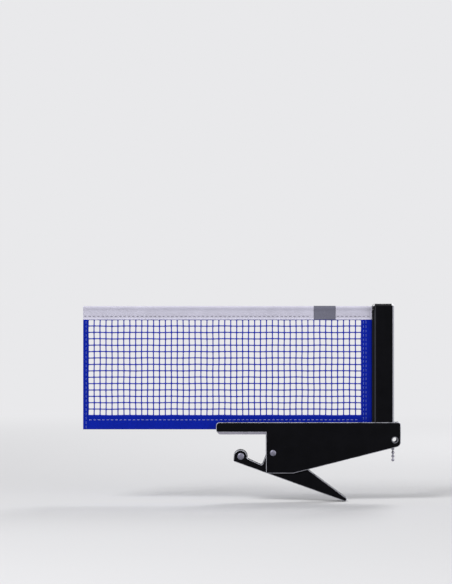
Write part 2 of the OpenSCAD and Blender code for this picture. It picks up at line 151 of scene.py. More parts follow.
class NetClampColours(bpy.types.PropertyGroup):
    steel: colour("Steel", "Powder coat of the body, lever and post", "#060609")
    # worn edges painted pale as a highlight on the sheet's rounded edges, and a painted highlight
    # on the post's corners
    wear_and_highlight: colour("Worn edge", "Powder coat where an edge is rubbed", "#a9a9b2")
    zinc: colour("Zinc", "Plating of the rivets", "#7b7a88")
    nickel: colour("Nickel", "Plating of the bead chain", "#918f9b")
    gunmetal: colour("Gunmetal", "Blackened brass of the eyelets", "#7c7c84")
    spring: colour("Spring", "Oiled spring wire", "#77777c")
    pad: colour("Pad", "Rubber of the upper jaw's pad", "#827f8b")
    blue: colour("Blue", "The net's twine, hem and end tapes", "#0620a0")
    white: colour("White", "The net's top band", "#c6c4d4")
    label: colour("Label", "The bare label on the band", "#6c6c7a")


# ---- meshes --------------------------------------------------------------------------------


def unit(vectors):
    """Vectors divided by their own lengths."""
    return vectors / np.linalg.norm(vectors, axis=-1, keepdims=True)


def grid(points, u, v):
    """A surface through points[i, j]: its corners, its four-sided faces and its UVs u[i], v[j]."""
    rows, columns = points.shape[:2]
    index = np.arange(rows * columns).reshape(rows, columns)
    faces = np.stack([index[:-1, :-1], index[1:, :-1], index[1:, 1:], index[:-1, 1:]], -1)
    uvs = np.stack(np.broadcast_arrays(np.asarray(u)[:, None], np.asarray(v)[None, :]), -1)
    return points.reshape(-1, 3), faces.reshape(-1, 4), uvs.reshape(-1, 2)


def joined(surfaces):
    """Several surfaces as one: the corners in a row, with each surface's faces counted on."""
    starts = np.cumsum([0] + [len(points) for points, _, _ in surfaces[:-1]])
    return (np.concatenate([points for points, _, _ in surfaces]),
            np.concatenate([faces + start for (_, faces, _), start in zip(surfaces, starts)]),
            np.concatenate([uvs for _, _, uvs in surfaces]))


def repeated(surface, places):
    """The same surface set at each of several places."""
    points, faces, uvs = surface
    count = len(places)
    return ((points[None] + places[:, None]).reshape(-1, 3),
            (faces[None] + (np.arange(count) * len(points))[:, None, None]).reshape(-1, 4),
            np.tile(uvs, (count, 1)))


def piece(name, surface, material, body="root"):
    """A smooth object of a surface: seams and poles are merged and the faces turned outwards."""
    points, faces, uvs = surface
    mesh = bpy.data.meshes.new(name)
    mesh.from_pydata(points.tolist(), [], faces.tolist())
    layer = mesh.uv_layers.new(name="UVMap")
    layer.data.foreach_set("uv", uvs[faces.ravel()].astype(np.float32).ravel())
    cleaned = bmesh.new()
    cleaned.from_mesh(mesh)
    bmesh.ops.remove_doubles(cleaned, verts=cleaned.verts, dist=SEAM)
    bmesh.ops.recalc_face_normals(cleaned, faces=cleaned.faces)
    cleaned.to_mesh(mesh)
    cleaned.free()
    mesh.polygons.foreach_set("use_smooth", np.full(len(mesh.polygons), True))
    mesh.materials.append(material)
    made = bpy.data.objects.new(name, mesh)
    bpy.context.scene.collection.objects.link(made)
    if body:
        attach(made, body)
    return made


def middle_plane(x, z):
    """Points of the clamp's middle plane, where Y is 0, from arrays or numbers x and z."""
    x, z = np.broadcast_arrays(x, z)
    return np.stack([x, np.zeros(x.shape), z], -1)


def tube(path, radius, sides):
    """A round tube along a path: circles of the given radii stand square to the path, which turns
    only about the Y axis, and each end closes to a point."""
    ahead = unit(np.gradient(path, axis=0))
    across = unit(np.cross(ALONG_Y, ahead))
    beside = np.cross(ahead, across)
    radius = np.broadcast_to(radius, len(path)).copy()
    order = np.r_[0, np.arange(len(path)), len(path) - 1]
    radius = radius[order]
    radius[[0, -1]] = 0.0
    turn = np.linspace(0, 2 * np.pi, sides + 1)
    ring = (across[order, None] * np.cos(turn)[None, :, None]
            + beside[order, None] * np.sin(turn)[None, :, None])
    points = path[order, None] + radius[:, None, None] * ring
    run = np.r_[0, np.cumsum(np.linalg.norm(np.diff(path, axis=0), axis=1))][order]
    return grid(points, run, turn * radius.max())


def turned(centre, profile, sides=48):
    """A shape turned about the Y axis through centre. profile holds (radius, y), end to end."""
    turn = np.linspace(0, 2 * np.pi, sides + 1)
    radius, along = profile[:, 0, None], profile[:, 1, None]
    points = np.stack(np.broadcast_arrays(centre[0] + radius * np.cos(turn), centre[1] + along,
                                          centre[2] + radius * np.sin(turn)), -1)
    run = np.r_[0, np.cumsum(np.linalg.norm(np.diff(profile, axis=0), axis=1))]
    return grid(points, run, turn * profile[:, 0].max())


def arc(centre, radius, start, stop, steps):
    """Points of a circle's arc in a plane, from one angle in degrees to another."""
    turn = np.radians(np.linspace(start, stop, steps))
    return np.array(centre) + radius * np.stack([np.cos(turn), np.sin(turn)], -1)


def dressed(node, material, edge=0.0):
    """Gives a CAD node its finish. By modifiers its corners are welded and its edges rounded."""
    made = NODES[node]
    made.data.materials.clear()
    made.data.materials.append(material)
    if edge:
        weld = made.modifiers.new("Weld", "WELD")
        weld.merge_threshold = NEAR
        bevel = made.modifiers.new("Rounded edges", "BEVEL")
        bevel.width = edge
        bevel.segments = 3
        bevel.limit_method = "ANGLE"
        bevel.angle_limit = SHARP
    return made


def cut_sheet(name, node, coat, wear_and_highlight, edge, body):
    """Stands for a CAD node of steel sheet with a copy of it, whose corners are welded, flat faces
    made whole and outer sides rounded along their sharp edges, where the finish is worn and
    painted pale as a highlight."""
    shape = bmesh.new()
    shape.from_mesh(NODES[node].data)
    bmesh.ops.remove_doubles(shape, verts=shape.verts, dist=NEAR)
    bmesh.ops.dissolve_limit(shape, angle_limit=FLAT, verts=shape.verts, edges=shape.edges)
    ends = [corner[1] for corner in box(node)]
    sides = {face for face in shape.faces
             if any(all(abs(v.co.y - end) < NEAR for v in face.verts) for end in ends)}
    sharp = [line for line in shape.edges if line.is_convex and line.calc_face_angle() > SHARP
             and sides.intersection(line.link_faces)]
    bmesh.ops.bevel(shape, geom=sharp, offset=edge, offset_type="OFFSET", segments=3, profile=0.5,
                    affect="EDGES", clamp_overlap=False, material=1)
    for face in shape.faces:
        face.smooth = face.smooth or face.material_index == 1
    mesh = bpy.data.meshes.new(name)
    shape.to_mesh(mesh)
    shape.free()
    # the copied normals belong to the corners before they were rounded
    if "custom_normal" in mesh.attributes:
        mesh.attributes.remove(mesh.attributes["custom_normal"])
    mesh.materials.append(coat)
    mesh.materials.append(wear_and_highlight)
    made = bpy.data.objects.new(name, mesh)
    bpy.context.scene.collection.objects.link(made)
    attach(made, body)
    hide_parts(node)
    return made


# ---- materials -----------------------------------------------------------------------------


def node(tree, kind, inputs=None, stops=(), **settings):
    """Adds one shader node, named without its prefix. inputs are the values or links of its
    sockets, settings its properties, and stops the places and colours along a colour ramp."""
    made = tree.nodes.new("ShaderNode" + kind)
    for name, value in settings.items():
        setattr(made, name, value)
    for name, value in (inputs or {}).items():
        if isinstance(value, bpy.types.NodeSocket):
            tree.links.new(value, made.inputs[name])
        else:
            made.inputs[name].default_value = value
    for index, (position, tone) in enumerate(stops):
        made.color_ramp.elements[index].position = position
        made.color_ramp.elements[index].color = tone
    return made


def finish(name, colour_value, roughness, **sockets):
    """A material of one shader, whose sockets are set by their names."""
    made = bpy.data.materials.new(name)
    made.use_nodes = True
    tree = made.node_tree
    shader = tree.nodes["Principled BSDF"]
    shader.inputs["Base Color"].default_value = colour_value
    shader.inputs["Roughness"].default_value = roughness
    for socket, value in sockets.items():
        shader.inputs[socket.replace("_", " ")].default_value = value
    made.diffuse_color = colour_value
    return made, tree, shader


def shade(colour_value, factor):
    """A colour made darker or lighter, alpha kept."""
    return (*[min(1.0, c * factor) for c in colour_value[:3]], 1.0)


def ridge_scale(apart_mm):
    """Scale of a wave whose ridges lie a real distance apart. At scale 1 it is a tenth of pi."""
    return math.pi / (10 * apart_mm * MM)


def mottle(tree, shader, colour_value, size_mm, contrast, rough_low, rough_high):
    """Cloudy patches of a real size in the colour and the roughness."""
    place = node(tree, "TexCoord")
    cloud = node(tree, "TexNoise", {"Vector": place.outputs["Object"],
                                    "Scale": 1 / (size_mm * MM), "Detail": 5.0,
                                    "Roughness": 0.6})
    tone = node(tree, "ValToRGB", {"Fac": cloud.outputs["Fac"]},
                [(0.32, shade(colour_value, 1 - contrast)),
                 (0.68, shade(colour_value, 1 + contrast))])
    tree.links.new(tone.outputs["Color"], shader.inputs["Base Color"])
    rough = node(tree, "MapRange", {"Value": cloud.outputs["Fac"], "From Min": 0.3,
                                    "From Max": 0.7, "To Min": rough_low, "To Max": rough_high})
    tree.links.new(rough.outputs["Result"], shader.inputs["Roughness"])
    return place


def powder_coated_steel(colour_value, name="powder_coated_steel"):
    """Black polyester powder baked on steel sheet: a deep, dull black with a faint orange peel."""
    made, tree, shader = finish(name, colour_value, 0.42, Specular_IOR_Level=0.05)
    place = mottle(tree, shader, colour_value, 14, 0.18, 0.36, 0.5)
    # the peel's cells are about 0.8 mm across and a few hundredths deep
    peel = node(tree, "TexNoise", {"Vector": place.outputs["Object"], "Scale": 1 / (0.8 * MM),
                                   "Detail": 2.0})
    bump = node(tree, "Bump", {"Height": peel.outputs["Fac"], "Strength": 1.0,
                               "Distance": 0.035 * MM})
    tree.links.new(bump.outputs["Normal"], shader.inputs["Normal"])
    return made


def painted_corner_highlight(made, highlight_value, low, high, fold, axis, inner=1.0):
    """Paints a highlight along a piece's rounded corners, by paling its finish there. inner is its
    share on the side towards the table, painted less lit than the outer side, and axis, Y or Z,
    the other way across a corner than X. Past both of a corner's flats, the product of the two
    distances grows to the middle of its rounding."""
    tree = made.node_tree
    shader = tree.nodes["Principled BSDF"]
    middle, half = (low + high) / 2, (high - low) / 2
    place = node(tree, "TexCoord")
    from_middle = node(tree, "VectorMath", {0: place.outputs["Object"], 1: tuple(middle)},
                       operation="SUBTRACT")
    apart = node(tree, "VectorMath", {0: from_middle.outputs["Vector"]}, operation="ABSOLUTE")
    past = node(tree, "VectorMath", {0: apart.outputs["Vector"], 1: tuple(half - fold)},
                operation="SUBTRACT")
    inside = node(tree, "VectorMath", {0: past.outputs["Vector"]}, operation="MAXIMUM")
    way = node(tree, "SeparateXYZ", {"Vector": inside.outputs["Vector"]})
    both = node(tree, "Math", {0: way.outputs["X"], 1: way.outputs[axis]}, operation="MULTIPLY")
    bend = node(tree, "MapRange", {"Value": both.outputs["Value"],
                                   "From Min": 0.05 * fold ** 2, "From Max": 0.3 * fold ** 2})
    share = bend.outputs["Result"]
    if axis == "Z":
        # the painted highlight on a shoulder lies only near its front and rear
        near_face = node(tree, "MapRange", {"Value": way.outputs["Y"], "From Min": 0.2 * fold,
                                            "From Max": 0.4 * fold})
        share = node(tree, "Math", {0: share, 1: near_face.outputs["Result"]},
                     operation="MULTIPLY").outputs["Value"]
    side = node(tree, "SeparateXYZ", {"Vector": from_middle.outputs["Vector"]})
    outer = node(tree, "MapRange", {"Value": side.outputs["X"], "From Min": -fold,
                                    "From Max": fold, "To Min": inner})
    share = node(tree, "Math", {0: share, 1: outer.outputs["Result"]}, operation="MULTIPLY")
    coat = shader.inputs["Base Color"].links[0].from_socket
    # sockets 6 and 7 take the two colours, and output 2 gives their mixture
    mixed = node(tree, "Mix", {"Factor": share.outputs["Value"], 6: coat, 7: highlight_value},
                 data_type="RGBA")
    tree.links.new(mixed.outputs[2], shader.inputs["Base Color"])


def rubbed_powder_coat(colour_value):
    """The same coat where an edge is rubbed, painted pale as a highlight along the edge, with
    darker stretches where it is thicker.
    """
    made, tree, shader = finish("rubbed_powder_coat", colour_value, 0.35, Metallic=0.3)
    place = node(tree, "TexCoord")
    patches = node(tree, "TexNoise", {"Vector": place.outputs["Object"], "Scale": 1 / (9 * MM),
                                      "Detail": 6.0, "Roughness": 0.7})
    tone = node(tree, "ValToRGB", {"Fac": patches.outputs["Fac"]},
                [(0.34, shade(colour_value, 0.3)), (0.5, colour_value)])
    tree.links.new(tone.outputs["Color"], shader.inputs["Base Color"])
    return made


def plated_metal(name, colour_value, low, high, grain_mm):
    """Plating over pressed metal: bright and slightly cloudy, with fine rolling marks, which are
    drawn coarser than they are, so that they show."""
    made, tree, shader = finish(name, colour_value, low, Metallic=1.0)
    place = mottle(tree, shader, colour_value, 2.5, 0.1, low, high)
    marks = node(tree, "TexNoise", {"Vector": place.outputs["Object"],
                                    "Scale": 1 / (grain_mm * MM), "Detail": 3.0})
    bump = node(tree, "Bump", {"Height": marks.outputs["Fac"], "Strength": 1.0,
                               "Distance": 0.008 * MM})
    tree.links.new(bump.outputs["Normal"], shader.inputs["Normal"])
    return made


def moulded(name, colour_value, low, high, grain_mm, depth_mm, contrast=0.1, **sockets):
    """Rubber or plastic from a mould whose wall was spark eroded to a fine grain, which is drawn
    coarser than it is, so that it shows."""
    made, tree, shader = finish(name, colour_value, low, **sockets)
    place = mottle(tree, shader, colour_value, 9, contrast, low, high)
    grain = node(tree, "TexVoronoi", {"Vector": place.outputs["Object"],
                                      "Scale": 1 / (grain_mm * MM)})
    bump = node(tree, "Bump", {"Height": grain.outputs["Distance"], "Strength": 1.0,
                               "Distance": depth_mm * MM})
    tree.links.new(bump.outputs["Normal"], shader.inputs["Normal"])
    return made


def woven(name, colour_value, yarn_mm, slant=0.0, sheen=0.05, contrast=0.16):
    """Plain woven tape: warp along the tape and weft across it, on the tape's own UVs in metres.
    The yarns are drawn about twice their real size, so that they show."""
    made, tree, shader = finish(name, colour_value, 0.85, Sheen_Weight=sheen,
                                Sheen_Roughness=0.4, Sheen_Tint=shade(colour_value, 1.5),
                                Specular_IOR_Level=0.08)
    place = node(tree, "TexCoord")
    lie = node(tree, "Mapping", {"Vector": place.outputs["UV"], "Rotation": (0.0, 0.0, slant)})
    warp, weft = (node(tree, "TexWave", {"Vector": lie.outputs["Vector"],
                                         "Scale": ridge_scale(yarn_mm), "Distortion": 0.6,
                                         "Detail": 1.0}, bands_direction=way) for way in "YX")
    weave = node(tree, "Math", {0: warp.outputs["Fac"], 1: weft.outputs["Fac"]},
                 operation="MULTIPLY")
    tone = node(tree, "ValToRGB", {"Fac": weave.outputs["Value"]},
                [(0.0, shade(colour_value, 1 - 2 * contrast)),
                 (0.6, shade(colour_value, 1 + contrast))])
    fade = node(tree, "TexNoise", {"Vector": place.outputs["Object"], "Scale": 1 / (22 * MM),
                                   "Detail": 3.0})
    soil = node(tree, "MapRange", {"Value": fade.outputs["Fac"], "To Min": 0.86, "To Max": 1.1})
    tinted = node(tree, "VectorMath", {0: tone.outputs["Color"],
                                       "Scale": soil.outputs["Result"]}, operation="SCALE")
    tree.links.new(tinted.outputs["Vector"], shader.inputs["Base Color"])
    bump = node(tree, "Bump", {"Height": weave.outputs["Value"], "Strength": 1.0,
                               "Distance": 0.08 * MM})
    tree.links.new(bump.outputs["Normal"], shader.inputs["Normal"])
    return made


def selvedge_and_fold_highlight(made, low, high, width, paler):
    """Pales a band along its lower edge and its right end, where the cloth is denser, and along
    its upper fold as a painted highlight. low and high are the band's corners, and width how far
    the paler parts reach."""
    tree = made.node_tree
    shader = tree.nodes["Principled BSDF"]
    place = node(tree, "TexCoord")
    way = node(tree, "SeparateXYZ", {"Vector": place.outputs["Object"]})
    pale_strips = 0.0
    for axis, start, stop in (("Z", low[2] + 1.15 * width, low[2] + 0.85 * width),
                              ("X", high[0] - 1.05 * width, high[0] - 0.75 * width),
                              # the upper fold's strip is a painted highlight
                              ("Z", high[2] - 0.85 * width, high[2] - 0.6 * width)):
        strip = node(tree, "MapRange", {"Value": way.outputs[axis], "From Min": start,
                                        "From Max": stop})
        pale_strips = node(tree, "Math", {0: pale_strips, 1: strip.outputs["Result"]},
                     operation="MAXIMUM").outputs["Value"]
    share = node(tree, "MapRange", {"Value": pale_strips, "To Min": 1.0, "To Max": paler})
    cloth = shader.inputs["Base Color"].links[0].from_socket
    paled = node(tree, "VectorMath", {0: cloth, "Scale": share.outputs["Result"]},
                 operation="SCALE")
    tree.links.new(paled.outputs["Vector"], shader.inputs["Base Color"])


def twisted_twine(colour_value):
    """Nylon twine laid from plies: slanting ridges on the strand's own UVs, and a soft shine."""
    made, tree, shader = finish("twisted_nylon_twine", colour_value, 0.55,
                                Specular_IOR_Level=0.25)
    place = node(tree, "TexCoord")
    lie = node(tree, "Mapping", {"Vector": place.outputs["UV"],
                                 "Rotation": (0.0, 0.0, math.radians(35))})
    # the plies lie 1.1 mm apart, which is twice the real lay
    plies = node(tree, "TexWave", {"Vector": lie.outputs["Vector"], "Scale": ridge_scale(1.1)},
                 bands_direction="X")
    tone = node(tree, "ValToRGB", {"Fac": plies.outputs["Fac"]},
                [(0.0, shade(colour_value, 0.7)), (0.7, shade(colour_value, 1.12))])
    tree.links.new(tone.outputs["Color"], shader.inputs["Base Color"])
    bump = node(tree, "Bump", {"Height": plies.outputs["Fac"], "Strength": 1.0,
                               "Distance": 0.1 * MM})
    tree.links.new(bump.outputs["Normal"], shader.inputs["Normal"])
    return made


def braided_cord(colour_value):
    """Braided polyester: two sets of strands that cross on the slant, on the cord's own UVs."""
    made, tree, shader = finish("braided_polyester", colour_value, 0.7, Sheen_Weight=0.3)
    place = node(tree, "TexCoord")
    waves = []
    for slant in (40, -40):
        lie = node(tree, "Mapping", {"Vector": place.outputs["UV"],
                                     "Rotation": (0.0, 0.0, math.radians(slant))})
        waves.append(node(tree, "TexWave", {"Vector": lie.outputs["Vector"],
                                            "Scale": ridge_scale(1.0)}, bands_direction="X"))
    braid = node(tree, "Math", {0: waves[0].outputs["Fac"], 1: waves[1].outputs["Fac"]},
                 operation="MAXIMUM")
    tone = node(tree, "ValToRGB", {"Fac": braid.outputs["Value"]},
                [(0.0, shade(colour_value, 0.65)), (1.0, colour_value)])
    tree.links.new(tone.outputs["Color"], shader.inputs["Base Color"])
    bump = node(tree, "Bump", {"Height": braid.outputs["Value"], "Strength": 1.0,
                               "Distance": 0.1 * MM})
    tree.links.new(bump.outputs["Normal"], shader.inputs["Normal"])
    return made


def sewing_thread(name, colour_value):
    """Spun polyester thread: a plain colour with a fine lay."""
    made, tree, shader = finish(name, colour_value, 0.6, Sheen_Weight=0.2)
    place = node(tree, "TexCoord")
    lay = node(tree, "TexNoise", {"Vector": place.outputs["Object"], "Scale": 1 / (0.4 * MM),
                                  "Detail": 2.0})
    bump = node(tree, "Bump", {"Height": lay.outputs["Fac"], "Strength": 1.0,
                               "Distance": 0.05 * MM})
    tree.links.new(bump.outputs["Normal"], shader.inputs["Normal"])
    return made


# ---- pieces --------------------------------------------------------------------------------

POST_FOLD = 2 * MM            # rounding of the post's long folds
CAP_FOLD = 3.5 * MM           # how far the cap's rounded shoulders reach
HEAD_HEIGHT = 1.6 * MM        # of the rivets
SHANK_RADIUS = 2.5 * MM       # of the rivets
TYRE_ROUND = 1.2 * MM         # rounding of the tyre's shoulders
TYRE_CROWN = 0.25 * MM        # of the tread's middle over its sides
LEVER_DEPTH = 25.3 * MM       # from the pivot to the lever's lower edge
LEVER_SLOPE = math.radians(19.8)
SHEET = 1.5 * MM              # steel of the lever and post
SPRING_GAP = 0.1 * MM         # between a leg's end and what it presses on
CORD_BEND = 4.3 * MM          # of the cord over the cap's saddle
LEAD_BEADS = 3                # beads that lean from under the post to the slot
TAIL_BEADS = 3                # beads that hang below the one that locks
TAIL_GAP = 0.03 * MM          # between the bead that locks and the link below it
NYLON = "#dcd8cb"
TYRE_BLACK = "#17171a"
PLASTIC_BLACK = "#0b0b0e"
# painted highlight on the post cap's shoulders
CAP_SHOULDER_HIGHLIGHT = "#f0f0f4"
CORD_WHITE = "#dddbe2"


def joint_place(name):
    """Middle of a joint's axis."""
    return np.array(JOINTS[name]["pos_m"])


def steelwork(scene):
    """Body, lever and post: powder coat on the faces, rubbed thin on the rounded edges, which are
    painted pale as a highlight.
    """
    colours, metal = scene.net_clamp_colours, scene.net_clamp_metal
    coat = powder_coated_steel(tuple(colours.steel))
    wear_and_highlight = rubbed_powder_coat(tuple(colours.wear_and_highlight))
    for name, cad_node, body in (("front_side", "front_cheek", "root"),
                                 ("rear_side", "rear_cheek", "root"),
                                 ("folded_lever", "lever", "lever")):
        cut_sheet(name, cad_node, coat, wear_and_highlight, metal.edge, body)
    for name in ("trough_floor", "edge_plate", "end_plate"):
        dressed(name, coat)
    post_coat = powder_coated_steel(tuple(colours.steel), "powder_coated_post")
    # a painted highlight along the post's folds, faint on the side towards the table
    painted_corner_highlight(post_coat, tuple(colours.wear_and_highlight), *box("post"), POST_FOLD, "Y", inner=0.08)
    dressed("post", post_coat)
    dressed("eyelets", plated_metal("blackened_brass", tuple(colours.gunmetal), 0.3, 0.45, 0.5),
            edge=0.15 * MM)


def rivets(scene):
    """Both rivets, turned: two low heads on a plain shank. A head's section is a superellipse: the
    cubes of its shares of the radius and of the height add up to one."""
    zinc = plated_metal("zinc_plated_steel", tuple(scene.net_clamp_colours.zinc), 0.4, 0.55, 0.5)
    for name, centre, body in (("pivot_rivet", joint_place("lever_pivot"), "root"),
                               ("roller_rivet", joint_place("roller_spin"), "lever")):
        low, high = box(name)
        head, grip = (high[0] - low[0]) / 2, high[1] - HEAD_HEIGHT
        turn = np.linspace(0, np.pi / 2, 15)
        dome = np.stack([head * np.sin(turn) ** (2 / 3),
                         grip + HEAD_HEIGHT * np.cos(turn) ** (2 / 3)], -1)
        half = np.concatenate([dome, [[SHANK_RADIUS, grip]]])
        whole = np.concatenate([half, half[::-1] * [1, -1]])
        made = piece(name + "_turned", turned(centre, whole), zinc, body)
        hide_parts(name)
    dressed("cord_ferrule", zinc, edge=0.2 * MM)


def bushes(scene):
    """Washers, spring sleeve and roller core: turned from natural nylon."""
    nylon = moulded("natural_nylon", linear(NYLON), 0.4, 0.55, 0.6, 0.01,
                    Subsurface_Weight=0.1)
    for name in ("pivot_washers", "spring_sleeve", "roller_core"):
        dressed(name, nylon, edge=0.12 * MM)


def torsion_spring(scene):
    """The spring's wire: straight along the upper leg, round the sleeve on a helix, and straight
    down the lower leg. Its legs leave the coil along its tangents."""
    metal = scene.net_clamp_metal
    centre = joint_place("lever_pivot")[[0, 2]]
    wire, radius = metal.wire / 2, metal.coil_radius
    floor = box("trough_floor")[0][2]
    upper = np.array([centre[0] + metal.upper_leg, floor - wire - SPRING_GAP])
    lower_x = centre[0] + metal.lower_leg
    web = centre[1] - LEVER_DEPTH / math.cos(LEVER_SLOPE) - metal.lower_leg * math.tan(LEVER_SLOPE)
    lower = np.array([lower_x, web + (SHEET + wire + SPRING_GAP) / math.cos(LEVER_SLOPE)])

    def bearing(end):
        """Direction from the coil's middle to a leg's end, as an angle."""
        return math.atan2(end[1] - centre[1], end[0] - centre[0])

    def touch(end):
        """Angle from there to where a tangent from the leg's end meets the coil, whose cosine is
        the coil's radius over the end's distance."""
        return math.acos(radius / np.linalg.norm(end - centre))

    start = bearing(upper) + touch(upper)
    stop = bearing(lower) - touch(lower) + 2 * math.pi * (metal.coil_turns + 1)
    width = metal.coil_pitch * (stop - start) / (2 * math.pi)
    angle = np.linspace(start, stop, 44 * metal.coil_turns)
    share = (angle - start) / (stop - start)
    coil = np.stack([centre[0] + radius * np.cos(angle), width * (share - 0.5),
                     centre[1] + radius * np.sin(angle)], -1)
    leg = np.linspace(0, 1, 12)[:-1, None]
    first, last = coil[0], coil[-1]
    upper_leg = np.array([upper[0], -width / 2, upper[1]]) * (1 - leg) + first * leg
    lower_leg = (np.array([lower[0], width / 2, lower[1]]) * (1 - leg) + last * leg)[::-1]
    path = np.concatenate([upper_leg, coil, lower_leg])
    steel = plated_metal("oiled_spring_wire", tuple(scene.net_clamp_colours.spring),
                         0.25, 0.4, 0.3)
    made = piece("spring_wire", tube(path, wire, 14), steel, body=None)
    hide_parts("torsion_spring")
    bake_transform(made)


def roller(scene):
    """The roller's tyre, turned: a slightly crowned tread between rounded shoulders."""
    rubber = moulded("black_moulded_rubber", linear(TYRE_BLACK), 0.6, 0.8, 0.5, 0.03)
    low, high = box("roller_tyre")
    centre = (low + high) / 2
    tread, half = (high[0] - low[0]) / 2, (high[1] - low[1]) / 2
    bore = (box("roller_core")[1][0] - box("roller_core")[0][0]) / 2
    crown = np.linspace(-1, 1, 13)
    across = (half - TYRE_ROUND) * crown
    face = np.stack([tread - TYRE_CROWN * crown ** 2, across], -1)
    shoulder = arc((tread - TYRE_CROWN - TYRE_ROUND, half - TYRE_ROUND), TYRE_ROUND, 0, 90, 7)[1:]
    profile = np.concatenate([[[bore, -half]], (shoulder * [1, -1])[::-1], face, shoulder,
                              [[bore, half], [bore, -half]]])
    made = piece("roller_tread", turned(centre, profile, 64), rubber, "roller")
    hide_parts("roller_tyre")


def jaw_pad(scene):
    """The strip of rubber glued under the upper jaw."""
    dressed("upper_jaw_pad", moulded("grey_moulded_rubber", tuple(scene.net_clamp_colours.pad),
                                     0.65, 0.85, 0.7, 0.05, contrast=0.14), edge=0.35 * MM)


def plastics(scene):
    """The post's cap and the net's batten, moulded in black plastic, with a painted highlight on
    the cap's shoulders.
    """
    black = linear(PLASTIC_BLACK)
    dressed("net_batten", moulded("black_moulded_polypropylene", black, 0.4, 0.55, 0.45, 0.025,
                                  Specular_IOR_Level=0.2), edge=0.25 * MM)
    nylon = moulded("black_moulded_nylon", black, 0.35, 0.5, 0.45, 0.025, Specular_IOR_Level=0.2)
    low, high = box("post_cap")
    # only the upper corners are shoulders, so the box is drawn lower
    # the cap's pale shoulders are a painted highlight
    painted_corner_highlight(nylon, linear(CAP_SHOULDER_HIGHLIGHT), low - np.array([0, 0, 2 * CAP_FOLD]), high,
                   CAP_FOLD, "Z")
    dressed("post_cap", nylon)


def cord(scene):
    """The cord: level along the net's top, over the cap's saddle and down to the ferrule."""
    low, high = box("net_cord")
    radius = high[1]
    top, down = high[2] - radius, high[0] - radius
    bend = arc((down - CORD_BEND, top - CORD_BEND), CORD_BEND, 90, 0, 16)
    level = middle_plane(np.linspace(low[0], bend[0, 0], 60)[:-1], top)
    drop = middle_plane(down, np.linspace(bend[-1, 1], low[2], 21)[1:])
    path = np.concatenate([level, middle_plane(bend[:, 0], bend[:, 1]), drop])
    made = piece("braided_net_cord", tube(path, radius, 20), braided_cord(linear(CORD_WHITE)))
    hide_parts("net_cord")


def beads(points, bead, link, lead=None):
    """A bead chain as one tube: its radius follows a circle over each bead and stays a link's
    between them. lead is where a link starts before the first bead. Without it that bead is closed
    round, as the last one is."""
    ahead = unit(np.gradient(points, axis=0))
    small = math.asin(link / bead)
    turn = np.linspace(small, math.pi - small, 13)
    path = points[:, None] - ahead[:, None] * np.cos(turn)[None, :, None] * bead / 2
    radius = np.tile(np.sin(turn) * bead / 2, len(points))
    tip = np.array([0.02, small / 3, small * 2 / 3])
    round_end = ahead[-1] * np.cos(tip[::-1])[:, None] * bead / 2
    path = np.concatenate([path.reshape(-1, 3), points[-1] + round_end])
    radius = np.r_[radius, np.sin(tip[::-1]) * bead / 2]
    if lead is None:
        round_start = -ahead[0] * np.cos(tip)[:, None] * bead / 2
        path = np.concatenate([points[0] + round_start, path])
        radius = np.r_[np.sin(tip) * bead / 2, radius]
    else:
        path, radius = np.concatenate([[lead], path]), np.r_[link / 2, radius]
    return tube(path, radius, 20)


def chain(scene):
    """The bead chain: from the ferrule down the post, leaning to the slot, through the end plate,
    and the free end that hangs below the bead that locks."""
    metal = scene.net_clamp_metal
    nickel = plated_metal("nickel_plated_bead_chain", tuple(scene.net_clamp_colours.nickel),
                          0.24, 0.36, 0.6)
    lock = joint_place("chain_tail_swing")
    low, high = box("ball_chain")
    pitch, up = metal.bead_pitch, np.array([0.0, 0.0, 1.0])
    lean_x = (high[0] - metal.bead / 2) - (low[0] + metal.bead / 2)
    lean = np.array([-lean_x, 0.0, math.sqrt((LEAD_BEADS * pitch) ** 2 - lean_x ** 2)])
    start = lock + pitch * up
    leaning = start + np.arange(LEAD_BEADS + 1)[:, None] * lean / LEAD_BEADS
    rest = round((high[2] - metal.bead / 2 - leaning[-1, 2]) / pitch)
    upright = leaning[-1] + np.arange(1, rest + 1)[:, None] * pitch * up
    run = piece("bead_chain", beads(np.concatenate([[lock], leaning, upright]), metal.bead,
                                    metal.link), nickel)
    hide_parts("ball_chain")
    hanging = lock - np.arange(1, TAIL_BEADS + 1)[:, None] * pitch * up
    tail = piece("bead_chain_end", beads(hanging, metal.bead, metal.link,
                                         lock - (metal.bead / 2 + TAIL_GAP) * up),
                 nickel, "chain_tail")
    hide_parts("chain_tail")


# ---- the net -------------------------------------------------------------------------------

TUCK = 4 * MM                 # of a strand's end between a tape's layers
KNOT_REACH = 0.13             # share of a mesh over which a knot swells its strand
NECK = 2.2                    # length in which a band narrows below its cord, in its own bulge
TAPE_STEP = 0.9 * MM          # between the sections along a tape
PULL_DEPTH = 0.16 * MM        # how far a stitch pulls the cloth in
PULL_REACH = 0.7 * MM         # to either side of its row
STITCH_RISE = 0.3 * MM        # of a stitch's middle over its ends
STITCH_SINK = 0.12 * MM       # of its ends under the cloth's face
BAND_SEAM = 4 * MM            # above the band's lower edge
HEM_SEAM = 5.2 * MM           # below the hem's upper edge
TAPE_SEAMS = [2.4 * MM, 5.5 * MM]       # inside a tape's inner edge
PALE_EDGE_WIDTH = 1.8 * MM         # of the band
PALE_EDGE_TONE = 1.22             # of the denser cloth and of the fold's painted highlight, to the rest's
OVER_HEM = 0.05 * MM          # of the upright tapes over the hem's solid
HEM_INSET = 0.15 * MM         # of the hem's face inside its solid
HEM_STITCH_INSET = 0.1 * MM   # of the hem's stitches inside its solid
TAPE_FOOT = 0.3 * MM          # of the upright tapes' lower ends over their solids'
LABEL_GAP = 0.02 * MM         # between the label and the band
BAND_THREAD, HEM_THREAD, TAPE_THREAD = "#74717d", "#8a94d0", "#4e60b2"


